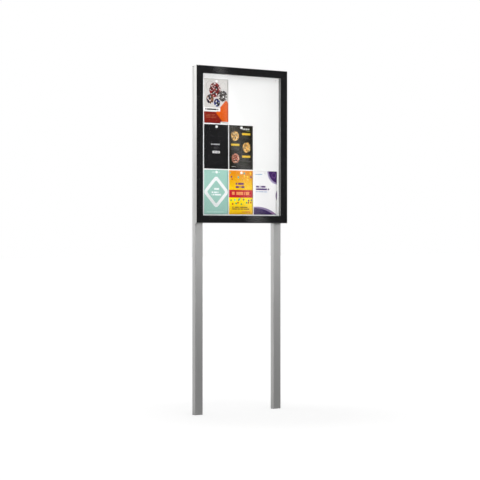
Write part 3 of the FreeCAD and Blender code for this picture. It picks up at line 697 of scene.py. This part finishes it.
# Mint sheet with one broad white frame on its corner
mintPrint = {
    "colour": mint,
    "roughness": 0.44,
    "shapes": [
        ("block", (105.0, 150.0, 79.0, 79.0, 24.0, 45.0), (0.86, 0.88, 0.88)),
        ("block", (105.0, 150.0, 56.0, 56.0, 10.0, 45.0), mint),
        ("words", (76.0, 176.0, 64.0, 1.0, 18.0, 6.0, 0.7), frost),
        ("words", (66.0, 152.0, 80.0, 2.0, 16.0, 5.0, 0.62), frost),
        ("words", (68.0, 284.0, 76.0, 1.0, 7.0, 3.2, 0.6), (0.70, 0.84, 0.80)),
        ("words", (24.0, 18.0, 168.0, 1.0, 6.0, 2.8, 0.5), (0.60, 0.79, 0.73)),
    ],
}

# Orange sheet, yellow in its middle, with a red band and loose confetti
fairPrint = {
    "colour": (0.72, 0.25, 0.001),
    "roughness": 0.44,
    "fade": {"colour": (0.93, 0.74, 0.001), "heights": (-60.0, 105.0, 275.0)},
    "shapes": [
        ("spots", (105.0, 262.0, 98.0, 28.0, 25.0, 0.34, 0.62), (red, teal, (0.92, 0.64, 0.05), purple)),
        ("words", (58.0, 214.0, 94.0, 2.0, 22.0, 7.0, 0.62), (0.13, 0.02, 0.14)),
        ("block", (105.0, 140.0, 105.0, 26.0), (0.52, 0.012, 0.022)),
        ("words", (26.0, 153.0, 160.0, 1.0, 26.0, 7.5, 0.8), (0.78, 0.30, 0.10)),
        ("spots", (105.0, 88.0, 98.0, 24.0, 23.0, 0.36, 0.70), (teal, red, purple, (0.02, 0.30, 0.10))),
        ("words", (26.0, 52.0, 158.0, 2.0, 12.0, 4.5, 0.5), (0.10, 0.03, 0.03)),
        ("words", (112.0, 20.0, 82.0, 1.0, 7.0, 3.5, 0.7), (0.55, 0.05, 0.02)),
    ],
}

# White sheet with a purple quarter and a navy sweep at its foot
academyPrint = {
    "colour": (0.90, 0.89, 0.90),
    "roughness": 0.42,
    "shapes": [
        ("disc", (214.0, 300.0, 92.0), (0.36, 0.30, 0.48)),
        ("disc", (222.0, 308.0, 90.0), (0.045, 0.012, 0.10)),
        ("ring", (182.0, 270.0, 17.0, 2.4), (0.22, 0.10, 0.32)),
        ("disc", (252.0, 132.0, 54.0), (0.10, 0.02, 0.17)),
        ("disc", (30.0, -172.0, 226.0, 0.82), (0.26, 0.20, 0.36)),
        ("disc", (20.0, -182.0, 226.0, 0.86), (0.035, 0.012, 0.09)),
        ("words", (16.0, 276.0, 64.0, 1.0, 7.0, 3.6, 0.6), (0.14, 0.33, 0.55)),
        ("words", (22.0, 196.0, 118.0, 2.0, 17.0, 6.5, 0.66), (0.08, 0.02, 0.16)),
        ("words", (22.0, 158.0, 128.0, 1.0, 7.0, 3.4, 0.6), (0.12, 0.28, 0.52)),
        ("words", (150.0, 14.0, 44.0, 1.0, 6.0, 3.0, 0.6), (0.40, 0.05, 0.22)),
    ],
}

printDesigns = {
    "clubPrint": clubPrint, "chalkPrint": chalkPrint, "menuPrint": menuPrint, "mintPrint": mintPrint,
    "fairPrint": fairPrint, "academyPrint": academyPrint,
}
prints = {number: makePrint(*named) for number, named in enumerate(printDesigns.items(), 1)}
print("prints made:", len(prints))


# The frame's own parts get their finishes by material slot, and the extrusions by the way they run; the liner
# and the door frame get a darker copy of the anodised finish, painted shade on their inner walls

slotFinish = {
    "anodised_aluminium": "anodisedUpright",
    "mill_aluminium": "millAluminium",
    "zinc_plated_steel": "zincPlate",
    "stainless_steel": "stainlessSteel",
    "lock_chrome": "lockChrome",
    "white_enamel": "whiteEnamel",
    "clear_glass": "clearGlass",
    "black_border": "borderInk",
    "black_rubber": "sealRubber",
    "dark_plastic": "darkPlastic",
    "white_nylon": "whiteNylon",
    "white_magnet": "magnetWhite",
}
ownFinish = {
    "anodisedLevel": ("casing_top", "casing_bottom"),
    "anodisedPost": ("post_left", "post_right"),
    "linerLevel": ("door_rail_top", "door_rail_bottom", "liner_top", "liner_bottom"),
    "linerUpright": ("door_stile_left", "door_stile_right", "liner_left", "liner_right"),
}


def dressNodes():
    own = {name: finish for finish, names in ownFinish.items() for name in names}
    for part in frame["record"]["subparts"]:
        name, slot = part["node"], part["material_slot"]
        if slot in slotFinish:
            nodes[name].data.materials.clear()
            nodes[name].data.materials.append(finishes[own.get(name, slotFinish[slot])])


dressNodes()
print("frame parts dressed")


# Screws, rivets and magnets: one tree shapes them, and they stand where the frame's own solids do

turnedMesh = {
    "headSides": 40, "headBands": 3, "headRings": 14, "smallSides": 24, "topLevel": 0.99, "sharpBend": 0.6,
}
turnedSizes = (
    "Head Radius", "Under Radius", "Head Height", "Shoulder", "Dome", "Shank Radius", "Length",
    "Recess Reach", "Recess Width", "Recess Depth",
)


def makeTurnedTree(name, cut):
    inputs = {"Places": "Geometry", "Turn": "Vector", **dict.fromkeys(turnedSizes, "Float")}
    inputs["Finish"] = "Material"
    tree, start, end = startGroup(name, inputs, {"Geometry": "Geometry"}, "GeometryNodeTree")
    sizes = start.outputs
    radius, height, shoulder = sizes["Head Radius"], sizes["Head Height"], sizes["Shoulder"]
    head = addNode(tree, "GeometryNodeMeshCylinder", {
        "Vertices": turnedMesh["headSides"], "Side Segments": turnedMesh["headBands"],
        "Fill Segments": turnedMesh["headRings"], "Radius": radius, "Depth": height,
    }).outputs["Mesh"]

    # The top falls over its shoulder and dome, and the sides run in to the underside
    parts = split(tree, addNode(tree, "GeometryNodeInputPosition").outputs[0])
    flatPlace = join(tree, parts["X"], parts["Y"])
    out = calcVector(tree, "LENGTH", flatPlace)
    rise = calc(tree, "ADD", calc(tree, "DIVIDE", parts["Z"], height), 0.5)
    past = calc(tree, "SUBTRACT", out, calc(tree, "SUBTRACT", radius, shoulder))
    past = span(tree, calc(tree, "DIVIDE", past, shoulder), 0.0, 1.0, 0.0, 1.0)
    arc = calc(tree, "SQRT", calc(tree, "SUBTRACT", 1.0, calc(tree, "POWER", past, 2.0)))
    fall = calc(tree, "MULTIPLY", calc(tree, "SUBTRACT", 1.0, arc), shoulder)
    dome = calc(tree, "POWER", calc(tree, "DIVIDE", out, radius), 2.0)
    fall = calc(tree, "MULTIPLY_ADD", dome, sizes["Dome"], fall)
    fall = calc(tree, "MULTIPLY", fall, calc(tree, "GREATER_THAN", rise, turnedMesh["topLevel"]))
    level = calc(tree, "SUBTRACT", calc(tree, "MULTIPLY", calc(tree, "SUBTRACT", rise, 1.0), height), fall)
    taper = calc(tree, "DIVIDE", sizes["Under Radius"], radius)
    taper = calc(tree, "MULTIPLY_ADD", calc(tree, "SUBTRACT", 1.0, taper), rise, taper)
    across = addNode(tree, "ShaderNodeVectorMath", {0: flatPlace, "Scale": taper}, operation="SCALE")
    shaped = calcVector(tree, "ADD", across.outputs[0], join(tree, z=level))
    head = addNode(tree, "GeometryNodeSetPosition", {"Geometry": head, "Position": shaped}).outputs[0]

    # The driver's recess, a magnet's dish or a rivet's hollow
    deep = calc(tree, "MULTIPLY", sizes["Recess Depth"], 2.0)
    if cut == "cross":
        bars = (("Recess Reach", "Recess Width"), ("Recess Width", "Recess Reach"))
        boxes = [{"Size": join(tree, sizes[x], sizes[y], deep)} for x, y in bars]
        cutters = [addNode(tree, "GeometryNodeMeshCube", box).outputs[0] for box in boxes]
    else:
        hole = {"Vertices": turnedMesh["smallSides"], "Radius": sizes["Recess Reach"], "Depth": deep}
        cutters = [addNode(tree, "GeometryNodeMeshCylinder", hole).outputs["Mesh"]]
    for cutter in cutters:
        carved = {"Mesh 1": head, "Mesh 2": cutter}
        head = addNode(tree, "GeometryNodeMeshBoolean", carved, operation="DIFFERENCE").outputs[0]

    # The shank hangs below the head
    under = calc(tree, "SUBTRACT", sizes["Length"], height)
    shank = {"Vertices": turnedMesh["smallSides"], "Radius": sizes["Shank Radius"], "Depth": under}
    shank = addNode(tree, "GeometryNodeMeshCylinder", shank).outputs["Mesh"]
    drop = join(tree, z=calc(tree, "MULTIPLY", calc(tree, "ADD", sizes["Length"], height), -0.5))
    shank = addNode(tree, "GeometryNodeTransform", {"Geometry": shank, "Translation": drop}).outputs[0]
    whole = tree.nodes.new("GeometryNodeJoinGeometry")
    for piece in (head, shank):
        feed(tree, whole, {0: piece})

    # Smooth, with crisp edges, one at each place
    soft = addNode(tree, "GeometryNodeSetShadeSmooth", {"Geometry": whole.outputs[0], "Shade Smooth": True})
    bend = addNode(tree, "GeometryNodeInputMeshEdgeAngle").outputs[0]
    sharp = calc(tree, "GREATER_THAN", bend, turnedMesh["sharpBend"])
    crisp = addNode(
        tree, "GeometryNodeSetShadeSmooth",
        {"Geometry": soft.outputs[0], "Selection": sharp, "Shade Smooth": False}, domain="EDGE",
    )
    spread = addNode(
        tree, "GeometryNodeInstanceOnPoints",
        {"Points": sizes["Places"], "Instance": crisp.outputs[0], "Rotation": sizes["Turn"]},
    )
    real = addNode(tree, "GeometryNodeRealizeInstances", {"Geometry": spread.outputs[0]}).outputs[0]
    coated = addNode(tree, "GeometryNodeSetMaterial", {"Geometry": real, "Material": sizes["Finish"]})
    feed(tree, end, {"Geometry": coated.outputs[0]})
    return tree


turnedTrees = {cut: makeTurnedTree("turnedWith" + cut.capitalize(), cut) for cut in ("cross", "hole")}

# Sizes in millimetres; "points" is the way from the head to the tip
turnedLooks = {
    "panel_screws": {
        "body": "casing", "slot": "stainless_steel", "points": "back", "cut": "cross",
        "Head Radius": 3.69, "Under Radius": 1.9, "Head Height": 2.0, "Shoulder": 0.25, "Dome": 0.0,
        "Shank Radius": 1.84, "Length": 8.0, "Recess Reach": 4.2, "Recess Width": 0.9, "Recess Depth": 1.3,
    },
    "hinge_screws": {
        "body": "door", "slot": "stainless_steel", "points": "right", "cut": "cross",
        "Head Radius": 3.42, "Under Radius": 1.9, "Head Height": 1.7, "Shoulder": 0.25, "Dome": 0.0,
        "Shank Radius": 1.84, "Length": 22.0, "Recess Reach": 3.8, "Recess Width": 0.85, "Recess Depth": 1.1,
    },
    "catch_screws": {
        "body": "door", "slot": "zinc_plated_steel", "points": "left", "cut": "cross",
        "Head Radius": 2.58, "Under Radius": 2.58, "Head Height": 1.6, "Shoulder": 0.8, "Dome": 0.25,
        "Shank Radius": 1.38, "Length": 7.6, "Recess Reach": 2.6, "Recess Width": 0.65, "Recess Depth": 0.9,
    },
    "casing_rivets": {
        "body": "casing", "slot": "mill_aluminium", "points": "back", "cut": "hole",
        "Head Radius": 2.95, "Under Radius": 2.95, "Head Height": 0.9, "Shoulder": 0.5, "Dome": 0.2,
        "Shank Radius": 1.47, "Length": 4.2, "Recess Reach": 0.8, "Recess Width": 0.8, "Recess Depth": 0.5,
    },
    "magnets": {
        "body": "casing", "slot": "white_magnet", "points": "back", "cut": "hole",
        "Head Radius": 8.77, "Under Radius": 8.3, "Head Height": 7.0, "Shoulder": 1.6, "Dome": 0.0,
        "Shank Radius": 7.9, "Length": 8.0, "Recess Reach": 5.6, "Recess Width": 0.8, "Recess Depth": 0.35,
    },
}
headTurns = {"back": (90.0, 0.0, 0.0), "right": (0.0, -90.0, 0.0), "left": (0.0, 90.0, 0.0)}


# Middle of the head's face of each solid in a node
def headPlaces(name, points):
    work = bmesh.new()
    work.from_mesh(nodes[name].data)
    bmesh.ops.remove_doubles(work, verts=work.verts, dist=1e-6)
    known, places = set(), []
    for first in work.verts:
        if first in known:
            continue
        known.add(first)
        solid = [first]
        for vert in solid:  # the list grows until it holds the whole solid
            for other in (link.other_vert(vert) for link in vert.link_edges):
                if other not in known:
                    known.add(other)
                    solid.append(other)
        low = Vector([min(vert.co[axis] for vert in solid) for axis in range(3)])
        high = Vector([max(vert.co[axis] for vert in solid) for axis in range(3)])
        place = (low + high) / 2.0
        axis = 1 if points == "back" else 0
        place[axis] = high[axis] if points == "left" else low[axis]
        places.append(place)
    work.free()
    return places


def makeTurned(node, look):
    tree = turnedTrees[look["cut"]]
    seed = bpy.data.meshes.new(node + "Places")
    seed.from_pydata(headPlaces(node, look["points"]), [], [])
    carrier = addObject(node + "Places", seed)
    modifier = carrier.modifiers.new("turned", "NODES")
    modifier.node_group = tree
    values = {label: look[label] / 1000.0 for label in turnedSizes}
    values["Turn"] = [math.radians(angle) for angle in headTurns[look["points"]]]
    values["Finish"] = finishes[slotFinish[look["slot"]]]
    for socket in tree.interface.items_tree:
        if socket.in_out == "INPUT" and socket.name in values:
            modifier[socket.identifier] = values[socket.name]
    bpy.context.view_layer.update()
    mesh = bpy.data.meshes.new_from_object(carrier.evaluated_get(bpy.context.evaluated_depsgraph_get()))
    bpy.data.objects.remove(carrier)
    piece = addObject(node + "Turned", mesh)
    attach(piece, look["body"])
    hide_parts(node)
    print(node, "made,", len(mesh.polygons), "faces")


for nodeName, turnedLook in turnedLooks.items():
    makeTurned(nodeName, turnedLook)
print("screws, rivets and magnets set")


# Sheets of paper, each a little bowed away from its magnet

sheetLook = {
    "columns": 14, "rows": 20, "lift": 0.0011, "magnetDrop": 0.0155, "middleLift": 0.35, "wave": 0.3,
    "waveStep": 2.3, "waveAcross": 3.0,
}


def makeSheet(number, look):
    name, node = "paper" + str(number), "sheet_" + str(number)
    low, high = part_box(node)
    width, height, thickness = high.x - low.x, high.z - low.z, high.y - low.y
    hold = Vector((0.5 * width, height - look["magnetDrop"]))
    work = bmesh.new()
    grid = []
    for row in range(look["rows"] + 1):
        line = []
        for column in range(look["columns"] + 1):
            u, v = column / look["columns"], row / look["rows"]
            away = (Vector((u * width, v * height)) - hold).length / hold.length
            edge = look["middleLift"] + (1.0 - look["middleLift"]) * abs(2.0 * u - 1.0) ** 3
            wave = math.sin(look["waveStep"] * number + look["waveAcross"] * u)
            lift = look["lift"] * away ** 2 * edge * (1.0 - look["wave"] + look["wave"] * wave)
            line.append(work.verts.new((low.x + u * width, high.y - thickness - lift, low.z + v * height)))
        grid.append(line)
    for below, above in zip(grid, grid[1:]):
        for column in range(look["columns"]):
            work.faces.new((below[column], below[column + 1], above[column + 1], above[column]))
    layer = work.loops.layers.uv.new("sheetMap")
    for face in work.faces:
        face.smooth = True
        for loop in face.loops:
            spot = loop.vert.co
            loop[layer].uv = ((spot.x - low.x) / width, (spot.z - low.z) / height)
    mesh = bpy.data.meshes.new(name)
    work.to_mesh(mesh)
    work.free()
    mesh.materials.append(prints[number])
    sheet = addObject(name, mesh)
    solid = sheet.modifiers.new("thickness", "SOLIDIFY")
    solid.thickness = thickness
    solid.offset = -1.0
    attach(sheet, "casing")
    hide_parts(node)


for number in prints:
    makeSheet(number, sheetLook)
print("sheets hung")


# Floor, world and lamps

floorLook = {
    "size": 60.0, "colour": (0.50, 0.50, 0.50), "roughness": 0.9, "gloss": 0.1, "nearGlow": 0.62,
    "farGlow": 0.75, "centre": (0.0, -0.3, 0.0), "reach": (0.5, 1.7), "sweepFront": (-0.1, 0.35),
    "mirrorBack": 0.85, "mirrorFront": (0.10, 0.10, 0.10),
}
worldLook = {"ambient": 0.55, "back": 1.0, "frontReflection": 0.10, "sweep": (-0.45, 0.25)}


def rayWeights(tree):
    path = addNode(tree, "ShaderNodeLightPath").outputs
    return calc(tree, "MAXIMUM", path["Is Camera Ray"], path["Is Transmission Ray"]), path["Is Glossy Ray"]


# White paper sweeps under the object and up behind it; the studio in front of it is dim
def makeFloor(look):
    half = look["size"]
    corners = [(x, y, 0.0) for x, y in ((-half, -half), (half, -half), (half, half), (-half, half))]
    mesh = bpy.data.meshes.new("floor")
    mesh.from_pydata(corners, [], [(0, 1, 2, 3)])
    floor = addObject("floor", mesh)
    material, tree, shader, output, place = startFinish("paleFloor", look)
    seen, reflected = rayWeights(tree)
    sweep = span(tree, split(tree, place)["Y"], *look["sweepFront"], 0.0, 1.0)
    dim = calc(tree, "MULTIPLY", reflected, calc(tree, "SUBTRACT", 1.0, sweep))
    feed(tree, shader, {"Base Color": blendColour(tree, dim, look["colour"], look["mirrorFront"])})
    away = calcVector(tree, "DISTANCE", place, look["centre"])
    glow = calc(tree, "MULTIPLY", seen, span(tree, away, *look["reach"], look["nearGlow"], look["farGlow"]))
    mirrored = calc(tree, "MULTIPLY", reflected, calc(tree, "MULTIPLY", sweep, look["mirrorBack"]))
    shine = addNode(tree, "ShaderNodeEmission", {"Strength": calc(tree, "MAXIMUM", glow, mirrored)})
    total = addNode(tree, "ShaderNodeAddShader", {0: shader.outputs[0], 1: shine.outputs[0]})
    feed(tree, output, {"Surface": total.outputs[0]})
    mesh.materials.append(material)


def makeWorld(look):
    world = bpy.data.worlds.new("studio")
    scene.world = world
    world.use_nodes = True
    tree = world.node_tree
    tree.nodes.clear()
    output = tree.nodes.new("ShaderNodeOutputWorld")
    direction = addNode(tree, "ShaderNodeTexCoord").outputs["Generated"]
    mirrored = span(tree, split(tree, direction)["Y"], *look["sweep"], look["frontReflection"], look["back"])
    seen, reflected = rayWeights(tree)
    lift = calc(tree, "SUBTRACT", mirrored, look["ambient"])
    level = calc(tree, "MULTIPLY_ADD", reflected, lift, look["ambient"])
    level = calc(tree, "MAXIMUM", level, seen)
    background = addNode(tree, "ShaderNodeBackground", {"Color": (1.0, 1.0, 1.0, 1.0), "Strength": level})
    feed(tree, output, {"Surface": background.outputs[0]})


# The key lamp's narrow beam lights the board and the upper posts; the two others fill in
lampLooks = {
    "keyLamp": {
        "place": (-3.3, -3.9, 2.1), "target": (0.0, 0.0, 1.95), "size": (1.2, 1.2), "power": 11.6,
        "spread": 32.0, "mirrored": False,
    },
    "sideLamp": {
        "place": (-2.33, 2.29, 2.62), "target": (-0.4, 0.0, 2.4), "size": (1.2, 1.2), "power": 6.2,
        "spread": 180.0, "mirrored": True,
    },
    "topLamp": {
        "place": (-0.8, -1.5, 4.9), "target": (0.0, 0.0, 1.9), "size": (1.8, 1.4), "power": 22.0,
        "spread": 150.0, "mirrored": True,
    },
}


def makeLamp(name, look):
    data = bpy.data.lights.new(name, "AREA")
    data.shape = "RECTANGLE"
    data.size, data.size_y = look["size"]
    data.energy = look["power"]
    data.spread = math.radians(look["spread"])
    lamp = addObject(name, data)
    lamp.location = look["place"]
    aim = Vector(look["target"]) - Vector(look["place"])
    lamp.rotation_euler = aim.to_track_quat("-Z", "Y").to_euler()
    lamp.visible_camera = False
    lamp.visible_glossy = look["mirrored"]


# A slanted soft strip that only shines back from gloss, as a window would
stripLook = {
    "top": (2.03, -2.859, 2.95), "foot": (2.68, -2.859, 0.95), "topWidth": 0.22, "footWidth": 0.36,
    "strength": 1.25,
}


def makeStrip(name, look):
    top, foot = Vector(look["top"]), Vector(look["foot"])
    topHalf, footHalf = (Vector((look[width] / 2.0, 0.0, 0.0)) for width in ("topWidth", "footWidth"))
    mesh = bpy.data.meshes.new(name)
    mesh.from_pydata([foot - footHalf, foot + footHalf, top + topHalf, top - topHalf], [], [(0, 1, 2, 3)])
    layer = mesh.uv_layers.new(name="stripMap")
    for loop, spot in zip(layer.data, ((0.0, 0.0), (1.0, 0.0), (1.0, 1.0), (0.0, 1.0))):
        loop.uv = spot
    material, tree, output = startMaterial(name)
    stripMap = addNode(tree, "ShaderNodeUVMap", uv_map="stripMap").outputs[0]
    fromMiddle = calc(tree, "ABSOLUTE", calc(tree, "SUBTRACT", split(tree, stripMap)["X"], 0.5))
    soft = span(tree, fromMiddle, 0.0, 0.5, 1.0, 0.0, kind="SMOOTHSTEP")
    shine = addNode(tree, "ShaderNodeEmission", {"Strength": calc(tree, "MULTIPLY", soft, look["strength"])})
    clear = addNode(tree, "ShaderNodeBsdfTransparent")
    total = addNode(tree, "ShaderNodeAddShader", {0: shine.outputs[0], 1: clear.outputs[0]})
    feed(tree, output, {"Surface": total.outputs[0]})
    mesh.materials.append(material)
    strip = addObject(name, mesh)
    strip.visible_camera = False
    strip.visible_diffuse = False
    strip.visible_shadow = False


makeFloor(floorLook)
makeWorld(worldLook)
makeStrip("glassStrip", stripLook)
for lampName, lampLook in lampLooks.items():
    makeLamp(lampName, lampLook)
print("floor, world and lamps ready")
